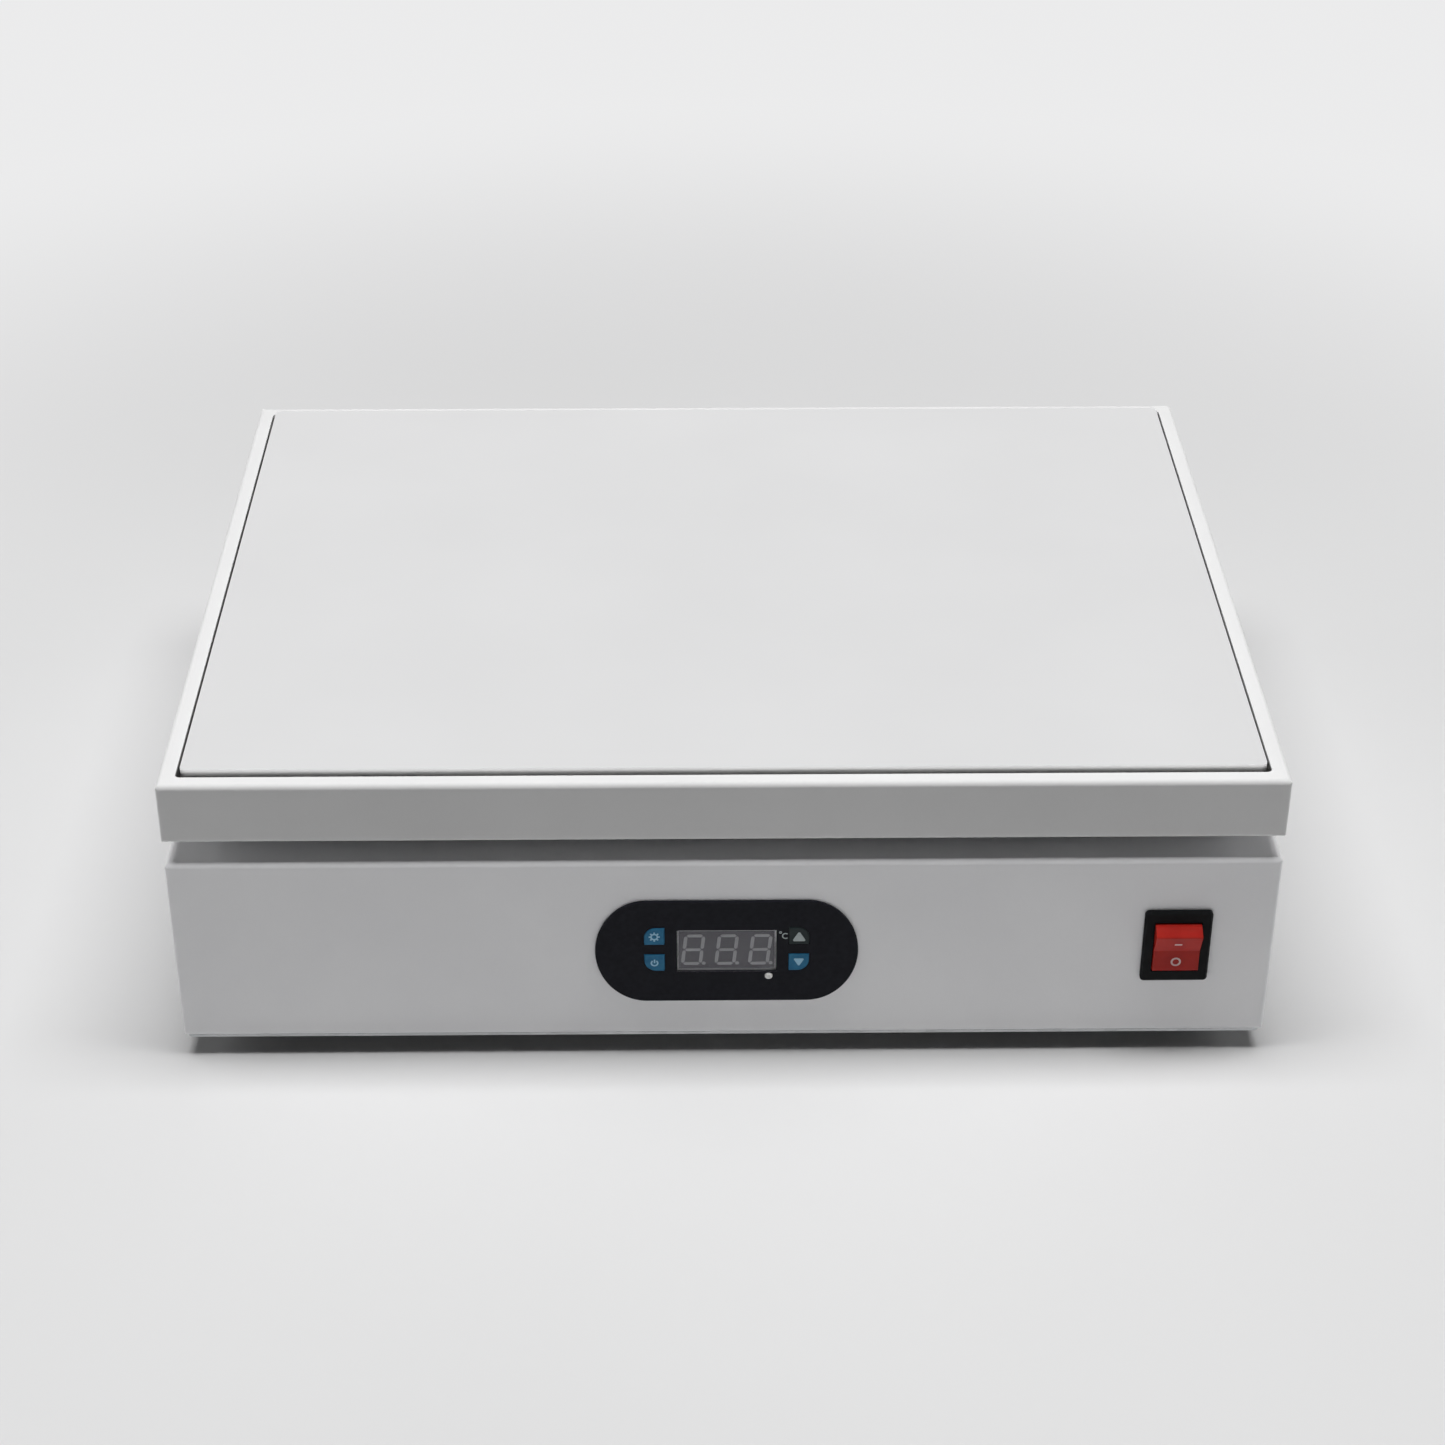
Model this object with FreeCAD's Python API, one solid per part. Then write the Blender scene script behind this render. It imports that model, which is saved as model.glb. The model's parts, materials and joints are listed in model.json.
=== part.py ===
import FreeCAD
import Part

import math
import os

from FreeCAD import Vector

# Heating table for circuit boards: a painted steel control case on rubber feet carries, over an open
# air gap, a shallow tray with an aluminium heating plate let into it.
# Millimetres. +Z up, front at -Y, origin on the bench under the middle of the case.

# Heating plate
plate_width = 400.0
plate_depth = 300.0
plate_thickness = 10.0
plate_gap = 1.7  # open joint between plate and rim
plate_proud = 2.6  # plate face above the rim
plate_chamfer = 0.4
plate_corner = 2.0

# Tray around the plate
rim_width = 6.4
skirt_height = 24.9
tray_sheet = 1.2
tray_bend = 0.6  # inside bend radius
tray_flange = 14.0  # return flange under the skirt
floor_sheet = 1.2
floor_inset = 1.0  # floor edge to the inside of the skirt

# Control case
case_height = 81.4  # base plate included
case_sheet = 1.2
case_bend = 0.8  # inside bend radius
case_flange = 14.0
base_sheet = 1.2
base_inset = 1.2
tray_lift = 9.6  # open gap between case and tray
mitre_slit = 1.0  # gap between neighbouring return flanges
seam_radius = 1.2  # ground upright corner seams of case and tray

# Feet
foot_height = 8.0
foot_top_radius = 9.0
foot_bottom_radius = 8.0
foot_recess_radius = 4.6
foot_recess_depth = 4.5
foot_pitch_x = 366.0
foot_pitch_y = 266.0

# Tray spacers, plate posts and insulation
spacer_flats = 14.0
spacer_pitch_x = 280.0
spacer_pitch_y = 240.0
post_flats = 10.0
post_pitch_x = 240.0
post_pitch_y = 270.0
post_clearance = 1.0
insulation_thickness = 5.0
insulation_inset = 3.0

# Heater rods half sunk in grooves under the plate, fed by a bus bar at each end
rod_radius = 4.0
rod_length = 340.0
rod_count = 4
rod_pitch = 70.0
groove_clearance = 0.2
tab_length = 8.0
tab_sheet = 1.0
tab_rise = 2.0  # above the rod's centre
tab_lift = 1.0  # foot of a tab above the insulation
bus_sheet = 1.5
bus_height = 4.0
bus_overhang = 8.0
clamp_width = 14.0
clamp_sheet = 2.0

# Temperature sensor and the ceramic bush under it
sensor_x = -20.0
sensor_y = 0.0
sensor_thread_radius = 3.0
sensor_thread_length = 6.0
sensor_hex = 10.0
sensor_hex_height = 4.0
sensor_fit = 0.05
lead_radius = 1.5
bush_bore = 5.2
bush_radius = 6.6
bush_mouth = 9.0  # opening in the insulation round the leads
bush_tail = 4.0  # below the deck

# Control faceplate
control_x = 0.8
control_z = 40.8  # above the underside of the case
faceplate_width = 99.6
faceplate_height = 46.4
faceplate_end = 19.5  # length of each rounded end
faceplate_thickness = 1.2
faceplate_chamfer = 0.4
control_box_width = 72.0
control_box_height = 32.0
control_box_wall = 1.6
control_box_depth = 16.0  # behind the front panel

# Display
display_width = 37.6
display_height = 19.0
display_rise = 0.4  # above the middle of the faceplate
display_depth = 8.0
display_border = 0.7
display_fill = 0.6
segment_sheet = 0.15
segment_recess = 0.2  # face of the fill behind the border
window_thickness = 1.0
digit_pitch = 12.7
digit_width = 8.0
digit_height = 14.2
digit_slant = 6.0
segment_width = 1.3
segment_gap = 0.25
point_radius = 0.8

# Keys and lamp
key_size = 7.6
key_pitch_x = 54.7
key_pitch_z = 12.2
key_rise = 1.4  # middle of the four keys above that of the faceplate
key_outer_corner = 4.5
key_chamfer = 0.3
key_proud = 0.4
key_clearance = 0.2
key_travel = 0.4
key_lip = 0.7
key_lip_overlap = 0.4
key_stop_gap = 0.1
key_rest_gap = 0.05
key_stem = 3.0
tact_size = 6.0
tact_height = 3.5
tact_bore_depth = 1.6
tact_bore_gap = 0.15
lamp_radius = 1.5
lamp_x = 16.0
lamp_drop = 11.4
lamp_proud = 0.5
lamp_chamfer = 0.6

# Control board
board_thickness = 1.6
board_clearance = 0.3
board_rib_x = 21.4
board_rib_width = 3.0
connector_width = 16.0
connector_height = 6.0
connector_depth = 7.0
clip_width = 6.0
clip_height = 18.0
clip_depth = 9.0

# Power switch
switch_edge = 36.9  # centre to the right side of the case
switch_z = 42.4
switch_bezel_width = 25.6
switch_bezel_height = 32.0
switch_bezel_thickness = 2.0
switch_bezel_chamfer = 0.7
switch_body_width = 21.4
switch_body_height = 28.2
switch_body_depth = 20.0
switch_mouth_width = 18.0
switch_mouth_height = 22.6
switch_mouth_depth = 11.0
switch_corner = 1.6
switch_barb = 0.8
switch_barb_height = 12.0
switch_barb_depth = 5.0
switch_barb_gap = 0.1
rocker_pivot_depth = 3.0
rocker_clearance = 0.3
rocker_throw = 24.0
rocker_crease = 4.2  # pivot to the crease of the face
rocker_skirt = 2.2
rocker_hub = 1.0
rocker_nose = 3.0
rocker_nose_width = 3.2
rocker_corner = 0.7
trunnion_radius = 1.5
trunnion_length = 1.1
trunnion_end_gap = 0.2
trunnion_fit = 0.05
blade_width = 6.3
blade_sheet = 0.8
blade_length = 8.0
blade_pitch_x = 10.0
blade_pitch_z = 14.0

# Mains inlet on the back
inlet_edge = 69.2  # centre to the right side of the case
inlet_z = 40.5
inlet_flange_width = 50.0
inlet_flange_height = 24.0
inlet_flange_thickness = 3.0
inlet_flange_corner = 5.0
inlet_body_width = 27.4
inlet_body_height = 19.8
inlet_body_depth = 19.0
inlet_mouth_width = 24.4
inlet_mouth_height = 16.8
inlet_mouth_depth = 17.0
inlet_key_cut = 4.5  # cut corners of the mouth
inlet_pin_width = 2.0
inlet_pin_height = 4.0
inlet_pin_length = 14.0
inlet_pin_pitch = 14.0
inlet_pin_drop = 2.0
inlet_tab_length = 9.0

# Vents in both sides
vent_width = 4.0
vent_length = 36.0
vent_pitch = 14.0
vent_count = 5

# Power board, relay and earth stud on the base plate
power_board_x = 45.0
power_board_y = 40.0
power_board_width = 90.0
power_board_depth = 70.0
power_post_height = 6.0
power_post_flats = 6.0
power_post_inset = 5.0
part_inset = 8.0  # parts on the power board, to its edges
transformer_width = 34.0
transformer_depth = 28.0
transformer_height = 24.0
bobbin_inset = 5.0
bobbin_overhang = 3.0
fuse_radius = 2.6
fuse_length = 20.0
fuse_clip = 5.0
fuse_clip_wall = 1.0
terminal_count = 4
terminal_pitch = 7.5
terminal_depth = 10.0
terminal_height = 11.0
terminal_entry = 4.0  # depth of the wire entries
relay_x = -85.0
relay_y = 40.0
relay_width = 45.0
relay_depth = 60.0
relay_base = 4.0
relay_height = 23.0
relay_body_depth = 42.0
relay_corner = 1.5
relay_tab_width = 9.0
relay_tab_length = 7.0
relay_tab_sheet = 1.2
relay_tab_drop = 6.0  # below the top of the relay
earth_x = 100.0
earth_y = 122.0
earth_height = 14.0
earth_radius = 2.0
earth_flats = 7.0
earth_nut = 3.5

# Shared clearances
panel_clearance = 0.2
wire_clearance = 0.2

# Wires
wire_radius = 1.2
wire_bend = 9.0
bush_bend = 4.0
wire_lead = 40.0  # straight run out of a terminal
wire_lap = 3.0  # length of wire on a relay tab

# Sizes that follow from the ones above
tray_width = plate_width + 2 * (plate_gap + rim_width)
tray_depth = plate_depth + 2 * (plate_gap + rim_width)
case_width = tray_width
case_depth = tray_depth
front = -case_depth / 2
back = case_depth / 2
base_bottom = foot_height
base_top = base_bottom + base_sheet
deck_top = base_bottom + case_height
deck_bottom = deck_top - case_sheet
tray_bottom = deck_top + tray_lift
rim_top = tray_bottom + skirt_height
plate_top = rim_top + plate_proud
plate_bottom = plate_top - plate_thickness
floor_bottom = tray_bottom + tray_sheet
floor_top = floor_bottom + floor_sheet
insulation_top = floor_top + insulation_thickness
rod_span = (rod_count - 1) * rod_pitch
bus_x = rod_length / 2 + tab_length
panel_inside = front + case_sheet
control_level = base_bottom + control_z
display_level = control_level + display_rise
face_front = front - faceplate_thickness
display_front = face_front + window_thickness
board_front = display_front + display_depth
board_back = board_front + board_thickness
switch_x = case_width / 2 - switch_edge
switch_level = base_bottom + switch_z
bezel_front = front - switch_bezel_thickness
pivot_y = bezel_front + rocker_pivot_depth
switch_back = front + switch_body_depth
blade_end = switch_back + blade_length
inlet_x = case_width / 2 - inlet_edge
inlet_level = base_bottom + inlet_z
inlet_inside = back - inlet_body_depth
inlet_end = inlet_inside - inlet_tab_length
power_board_bottom = base_top + power_post_height
power_board_top = power_board_bottom + board_thickness

x_axis = Vector(1, 0, 0)
y_axis = Vector(0, 1, 0)
z_axis = Vector(0, 0, 1)


def block(width, depth, height, x, y, bottom):
    # box centred in plan, standing on a level
    return Part.makeBox(width, depth, height, Vector(x - width / 2, y - depth / 2, bottom))


def upright(width, height, near, far, x, level):
    # box centred on a point of an upright panel, from one depth to another
    return Part.makeBox(width, far - near, height, Vector(x - width / 2, near, level - height / 2))


def bar(radius, start, along):
    return Part.makeCylinder(radius, along.Length, start, along)


def hole(radius, x, y, bottom, top):
    return bar(radius, Vector(x, y, bottom), Vector(0, 0, top - bottom))


def edges_along(shape, axis):
    return [e for e in shape.Edges if len(e.Vertexes) == 2
            and abs((e.Vertexes[1].Point - e.Vertexes[0].Point).normalize().dot(axis)) > 0.999]


def edges_in_front(shape, depth):
    return [e for e in shape.Edges if max(abs(e.BoundBox.YMin - depth), abs(e.BoundBox.YMax - depth)) < 1e-4]


def rounded(shape, radius, axis):
    return shape.makeFillet(radius, edges_along(shape, axis))


def prism(points, along):
    return Part.Face(Part.makePolygon(points + [points[0]])).extrude(along)


def slot(center, along, length, width, through):
    # round-ended slot: along is its direction, through its depth
    across = along.cross(through).normalize() * (width / 2)
    run = along * ((length - width) / 2)
    tip = along * (length / 2)
    start, end = center - run, center + run
    edges = [Part.makeLine(start + across, end + across),
             Part.Arc(end + across, center + tip, end - across).toShape(),
             Part.makeLine(end - across, start - across),
             Part.Arc(start - across, center - tip, start + across).toShape()]
    return Part.Face(Part.Wire(edges)).extrude(through)


def hexagon(flats, height, x, y, bottom):
    corner = flats / math.sqrt(3)
    turns = [math.radians(60 * i) for i in range(6)]
    points = [Vector(x + corner * math.cos(t), y + corner * math.sin(t), bottom) for t in turns]
    return prism(points, z_axis * height)


def corners(pitch_x, pitch_y):
    return [(sx * pitch_x / 2, sy * pitch_y / 2) for sy in (-1, 1) for sx in (-1, 1)]


def bent_block(width, depth, bottom, top, bend):
    # block whose top and bottom edges are bends that meet in mitres at the corners
    whole = block(width, depth, top - bottom, 0, 0, bottom)
    return rounded(whole, bend, x_axis).common(rounded(whole, bend, y_axis))


def folded_box(width, depth, bottom, top, sheet, inside_bend, flange):
    # sheet folded down round a top, with mitred return flanges at the bottom and ground corner seams
    seams = rounded(block(width, depth, top - bottom, 0, 0, bottom), seam_radius, z_axis)
    outer = bent_block(width, depth, bottom, top, inside_bend + sheet).common(seams)
    inner = bent_block(width - 2 * sheet, depth - 2 * sheet, bottom + sheet, top - sheet, inside_bend)
    shell = outer.cut(inner)
    shell = shell.cut(block(width - 2 * flange, depth - 2 * flange, 3 * sheet, 0, 0, bottom - sheet))
    for x, y in corners(width - 2 * flange, depth - 2 * flange):
        slit = block(2 * flange, mitre_slit, 3 * sheet, 0, 0, bottom - sheet)
        slit.rotate(Vector(), z_axis, 45 if x * y > 0 else -45)
        slit.translate(Vector(x, y, 0))
        reach = block(width - 3 * sheet, depth - 3 * sheet, 5 * sheet, 0, 0, bottom - 2 * sheet)
        shell = shell.cut(slit.common(reach))
    return shell


def wire(points, radius, bend=wire_bend):
    # six-sided wire along straight runs, each turn eased by chords
    run = [points[0]]
    for i in range(1, len(points) - 1):
        before = (points[i - 1] - points[i]).normalize()
        after = (points[i + 1] - points[i]).normalize()
        first, last = points[i] + before * bend, points[i] + after * bend
        run.append(first)
        run.append((first + last + points[i] * 2) * 0.25)
        run.append(last)
    run.append(points[-1])
    along = (run[1] - run[0]).normalize()
    across = along.cross(z_axis if abs(along.z) < 0.9 else x_axis).normalize()
    up = across.cross(along)
    turns = [math.radians(60 * i) for i in range(6)]
    ring = [run[0] + across * (radius * math.cos(a)) + up * (radius * math.sin(a)) for a in turns]
    return Part.makePolygon(run).makePipeShell([Part.makePolygon(ring + [ring[0]])], True, False, 1)


# Places shared by the pieces that meet there
spacer_places = corners(spacer_pitch_x, spacer_pitch_y)
foot_places = corners(foot_pitch_x, foot_pitch_y)
post_places = corners(post_pitch_x, post_pitch_y)
rod_places = [(i - (rod_count - 1) / 2) * rod_pitch for i in range(rod_count)]
key_places = {"upper_left_key": (-1, 1), "lower_left_key": (-1, -1), "up_key": (1, 1), "down_key": (1, -1)}
power_post_pitch_x = power_board_width - 2 * power_post_inset
power_post_pitch_y = power_board_depth - 2 * power_post_inset
power_post_places = [(power_board_x + x, power_board_y + y)
                     for x, y in corners(power_post_pitch_x, power_post_pitch_y)]
blade_places = [(switch_x + x, switch_level + z) for x, z in corners(blade_pitch_x, blade_pitch_z)]
inlet_pins = [(inlet_x - inlet_pin_pitch / 2, inlet_level - inlet_pin_drop),
              (inlet_x + inlet_pin_pitch / 2, inlet_level - inlet_pin_drop),
              (inlet_x, inlet_level + inlet_pin_drop)]


def make_case_shell():
    shell = folded_box(case_width, case_depth, base_top, deck_top, case_sheet, case_bend, case_flange)
    shell = shell.cut(upright(control_box_width + 2 * panel_clearance, control_box_height + 2 * panel_clearance,
                              front - 1, panel_inside + 1, control_x, control_level))
    shell = shell.cut(upright(switch_body_width + 2 * panel_clearance, switch_body_height + 2 * panel_clearance,
                              front - 1, panel_inside + 1, switch_x, switch_level))
    shell = shell.cut(upright(inlet_body_width + 2 * panel_clearance, inlet_body_height + 2 * panel_clearance,
                              back - case_sheet - 1, back + 1, inlet_x, inlet_level))
    shell = shell.cut(hole(bush_radius, sensor_x, sensor_y, deck_bottom - 1, deck_top + 1))
    for side in (-1, 1):
        for i in range(vent_count):
            middle = Vector(side * (case_width / 2 + 1), (i - (vent_count - 1) / 2) * vent_pitch,
                            base_bottom + case_height / 2)
            through = x_axis * (-side * (case_sheet + 2))
            shell = shell.cut(slot(middle, z_axis, vent_length, vent_width, through))
    return shell


def make_base_plate():
    plate = block(case_width - 2 * base_inset, case_depth - 2 * base_inset, base_sheet, 0, 0, base_bottom)
    return rounded(plate, plate_corner, z_axis)


def make_foot(x, y):
    foot = Part.makeCone(foot_bottom_radius, foot_top_radius, foot_height, Vector(x, y, 0))
    return foot.cut(hole(foot_recess_radius, x, y, -1, foot_recess_depth))


def make_tray_frame():
    frame = folded_box(tray_width, tray_depth, tray_bottom, rim_top, tray_sheet, tray_bend, tray_flange)
    opening = block(plate_width + 2 * plate_gap, plate_depth + 2 * plate_gap, 4 * tray_sheet, 0, 0,
                    rim_top - 2 * tray_sheet)
    return frame.cut(rounded(opening, plate_corner, z_axis))


def make_tray_floor():
    inset = tray_sheet + floor_inset
    floor = block(tray_width - 2 * inset, tray_depth - 2 * inset, floor_sheet, 0, 0, floor_bottom)
    return floor.cut(hole(bush_radius + panel_clearance, sensor_x, sensor_y, floor_bottom - 1, floor_top + 1))


def make_spacers():
    return [hexagon(spacer_flats, floor_bottom - deck_top, x, y, deck_top) for x, y in spacer_places]


def make_insulation():
    inset = tray_sheet + floor_inset + insulation_inset
    depth = tray_depth - 2 * inset
    board = block(tray_width - 2 * inset, depth, insulation_thickness, 0, 0, floor_top)
    width = post_flats * 2 / math.sqrt(3) + 2 * post_clearance
    for x, y in post_places:
        inner = abs(y) - post_flats / 2 - post_clearance
        notch = block(width, depth / 2 - inner + 1, insulation_thickness + 2, x, 0, floor_top - 1)
        notch.translate(y_axis * math.copysign((depth / 2 + 1 + inner) / 2, y))
        board = board.cut(notch)
    return board.cut(hole(bush_mouth, sensor_x, sensor_y, floor_top - 1, insulation_top + 1))


def make_heating_plate():
    plate = block(plate_width, plate_depth, plate_thickness, 0, 0, plate_bottom)
    plate = rounded(plate, plate_corner, z_axis)
    rim = [e for e in plate.Edges if e.BoundBox.ZMin > plate_top - 1e-4]
    plate = plate.makeChamfer(plate_chamfer, rim)
    for y in rod_places:
        plate = plate.cut(bar(rod_radius + groove_clearance, Vector(-plate_width / 2 - 1, y, plate_bottom),
                              x_axis * (plate_width + 2)))
    return plate.cut(hole(sensor_thread_radius + sensor_fit, sensor_x, sensor_y, plate_bottom - 1,
                          plate_bottom + sensor_thread_length + sensor_fit))


def make_heater_rods():
    start = -rod_length / 2
    return [bar(rod_radius, Vector(start, y, plate_bottom), x_axis * rod_length) for y in rod_places]


def make_heater_tabs():
    low = insulation_top + tab_lift
    height = plate_bottom + tab_rise - low
    return [block(tab_length, tab_sheet, height, side * (rod_length + tab_length) / 2, y, low)
            for side in (-1, 1) for y in rod_places]


def make_bus_bars():
    length = rod_span + 2 * bus_overhang
    middle = bus_x + bus_sheet / 2
    return [block(bus_sheet, length, bus_height, x, 0, insulation_top) for x in (-middle, middle)]


def make_clamp_bars():
    length = post_pitch_y - post_flats
    level = plate_bottom - rod_radius - clamp_sheet
    return [block(clamp_width, length, clamp_sheet, side * post_pitch_x / 2, 0, level) for side in (-1, 1)]


def make_sensor():
    body = hexagon(sensor_hex, sensor_hex_height, sensor_x, sensor_y, plate_bottom - sensor_hex_height)
    thread = hole(sensor_thread_radius, sensor_x, sensor_y, plate_bottom, plate_bottom + sensor_thread_length)
    return body.fuse(thread)


def make_bush():
    bush = hole(bush_radius, sensor_x, sensor_y, deck_bottom - bush_tail, floor_top)
    return bush.cut(hole(bush_bore, sensor_x, sensor_y, deck_bottom - bush_tail - 1, floor_top + 1))


def end_arc(center, across, up):
    # half an ellipse from center + up, round through center + across, to center - up
    if up.Length >= across.Length:
        return Part.Arc(Part.Ellipse(center + up, center + across, center), 0, math.pi).toShape()
    return Part.Arc(Part.Ellipse(center + across, center - up, center), -math.pi / 2, math.pi / 2).toShape()


def key_middle(name):
    side, level = key_places[name]
    return control_x + side * key_pitch_x / 2, control_level + key_rise + level * key_pitch_z / 2


def key_prism(name, size, near, far):
    # square key with its outer corner rounded
    side, level = key_places[name]
    x, z = key_middle(name)
    key = upright(size, size, near, far, x, z)
    outer = [e for e in edges_along(key, y_axis)
             if (e.BoundBox.Center.x - x) * side > 0 and (e.BoundBox.Center.z - z) * level > 0]
    return key.makeFillet(key_outer_corner, outer)


def make_faceplate():
    half = faceplate_width / 2 - faceplate_end
    up = z_axis * (faceplate_height / 2)
    middle = Vector(control_x, face_front, control_level)
    left, right = middle - x_axis * half, middle + x_axis * half
    edges = [Part.makeLine(left + up, right + up), end_arc(right, x_axis * faceplate_end, up),
             Part.makeLine(right - up, left - up), end_arc(left, x_axis * -faceplate_end, up * -1)]
    plate = Part.Face(Part.Wire(edges)).extrude(y_axis * faceplate_thickness)
    plate = plate.makeChamfer(faceplate_chamfer, edges_in_front(plate, face_front))
    sleeve = upright(control_box_width, control_box_height, front, front + control_box_depth, control_x,
                     control_level)
    walls = 2 * control_box_wall
    sleeve = sleeve.cut(upright(control_box_width - walls, control_box_height - walls, front - 1,
                                front + control_box_depth + 1, control_x, control_level))
    plate = plate.fuse(sleeve)
    for side in (-1, 1):
        plate = plate.fuse(upright(board_rib_width, control_box_height - control_box_wall, front, board_front,
                                   control_x + side * board_rib_x, control_level))
    plate = plate.removeSplitter()
    plate = plate.cut(upright(display_width + 2 * panel_clearance, display_height + 2 * panel_clearance,
                              face_front - 1, front + 1, control_x, display_level))
    for name in key_places:
        plate = plate.cut(key_prism(name, key_size + 2 * key_clearance, face_front - 1, front + 1))
    return plate.cut(bar(lamp_radius + panel_clearance, Vector(control_x + lamp_x, face_front - 1,
                                                               control_level - lamp_drop), y_axis * 5))


def make_window():
    return upright(display_width + panel_clearance, display_height + panel_clearance, face_front, display_front,
                   control_x, display_level)


def make_segments():
    # seven bars and a point for each of three slanted digits
    near = display_front + segment_recess - segment_sheet
    lean = math.tan(math.radians(digit_slant))
    solids = []

    def place(x, u, w):
        return Vector(control_x + x + u + w * lean, near, display_level + w)

    def stroke(x, u0, w0, u1, w1):
        run = Vector(u1 - u0, 0, w1 - w0).normalize()
        side = Vector(run.z, 0, -run.x)
        a, b = segment_gap, segment_gap + segment_width / 2
        tips = [(a, 0), (b, 1), (-b, 1), (-a, 0), (-b, -1), (b, -1)]
        points = []
        for reach, turn in tips:
            from_u, from_w = (u0, w0) if reach > 0 else (u1, w1)
            u = from_u + run.x * reach + side.x * turn * segment_width / 2
            w = from_w + run.z * reach + side.z * turn * segment_width / 2
            points.append(place(x, u, w))
        return prism(points, y_axis * segment_sheet)

    for digit in (-1, 0, 1):
        x = digit * digit_pitch
        a, h = (digit_width - segment_width) / 2, (digit_height - segment_width) / 2
        for w in (-h, 0, h):
            solids.append(stroke(x, -a, w, a, w))
        for u in (-a, a):
            solids.append(stroke(x, u, -h, u, 0))
            solids.append(stroke(x, u, 0, u, h))
        point = place(x, a + segment_width, -h - segment_width / 2 + point_radius)
        turns = [math.radians(22.5 + 45 * i) for i in range(8)]
        ring = [point + Vector(point_radius * math.cos(t), 0, point_radius * math.sin(t)) for t in turns]
        solids.append(prism(ring, y_axis * segment_sheet))
    return solids


def make_display_housing():
    body = upright(display_width, display_height, display_front, board_front, control_x, display_level)
    return body.cut(upright(display_width - 2 * display_border, display_height - 2 * display_border,
                            display_front - 1, display_front + display_fill, control_x, display_level))


def make_display_face():
    return upright(display_width - 2 * display_border, display_height - 2 * display_border,
                   display_front + segment_recess, display_front + display_fill, control_x, display_level)


def make_control_board():
    inset = 2 * (control_box_wall + board_clearance)
    return upright(control_box_width - inset, control_box_height - inset, board_front, board_back, control_x,
                   control_level)


def make_key(name):
    x, z = key_middle(name)
    lip_front = front + key_rest_gap
    lip_back = lip_front + key_lip
    stem_end = board_front - tact_height + tact_bore_depth - key_travel - key_stop_gap
    cap = key_prism(name, key_size, face_front - key_proud, lip_front)
    cap = cap.makeChamfer(key_chamfer, edges_in_front(cap, face_front - key_proud))
    lip_size = key_size + 2 * (key_clearance + key_lip_overlap)
    lip = upright(lip_size, lip_size, lip_front, lip_back, x, z)
    return cap.fuse(lip).fuse(upright(key_stem, key_stem, lip_back, stem_end, x, z)).removeSplitter()


def make_tact_switches():
    bodies = []
    for name in key_places:
        x, z = key_middle(name)
        body = upright(tact_size, tact_size, board_front - tact_height, board_front, x, z)
        bore = key_stem + 2 * tact_bore_gap
        top = board_front - tact_height
        bodies.append(body.cut(upright(bore, bore, top - 1, top + tact_bore_depth, x, z)))
    return bodies


def make_lamp():
    x, z = control_x + lamp_x, control_level - lamp_drop
    start = face_front - lamp_proud
    lens = bar(lamp_radius, Vector(x, start, z), y_axis * (board_front - start))
    return lens.makeChamfer(lamp_chamfer, edges_in_front(lens, face_front - lamp_proud))


def make_connector():
    return upright(connector_width, connector_height, board_back, board_back + connector_depth, control_x,
                   control_level)


def make_panel_clips():
    return [upright(clip_width, clip_height, panel_inside, panel_inside + clip_depth,
                    control_x + side * (control_box_width + clip_width) / 2, control_level) for side in (-1, 1)]


def make_switch_housing():
    bezel = upright(switch_bezel_width, switch_bezel_height, bezel_front, front, switch_x, switch_level)
    bezel = rounded(bezel, switch_corner, y_axis)
    bezel = bezel.makeChamfer(switch_bezel_chamfer, edges_in_front(bezel, bezel_front))
    body = upright(switch_body_width, switch_body_height, front, switch_back, switch_x, switch_level)
    housing = bezel.fuse(body)
    for side in (-1, 1):
        root = switch_x + side * switch_body_width / 2
        near = panel_inside + switch_barb_gap
        low = switch_level - switch_barb_height / 2
        points = [Vector(root, near, low), Vector(root + side * switch_barb, near, low),
                  Vector(root, near + switch_barb_depth, low)]
        housing = housing.fuse(prism(points, z_axis * switch_barb_height))
    housing = housing.removeSplitter()
    mouth = upright(switch_mouth_width, switch_mouth_height, bezel_front - 1, bezel_front + switch_mouth_depth,
                    switch_x, switch_level)
    housing = housing.cut(mouth)
    bore = switch_mouth_width / 2 + trunnion_length + trunnion_end_gap
    return housing.cut(bar(trunnion_radius + trunnion_fit, Vector(switch_x - bore, pivot_y, switch_level),
                           x_axis * (2 * bore)))


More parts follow.
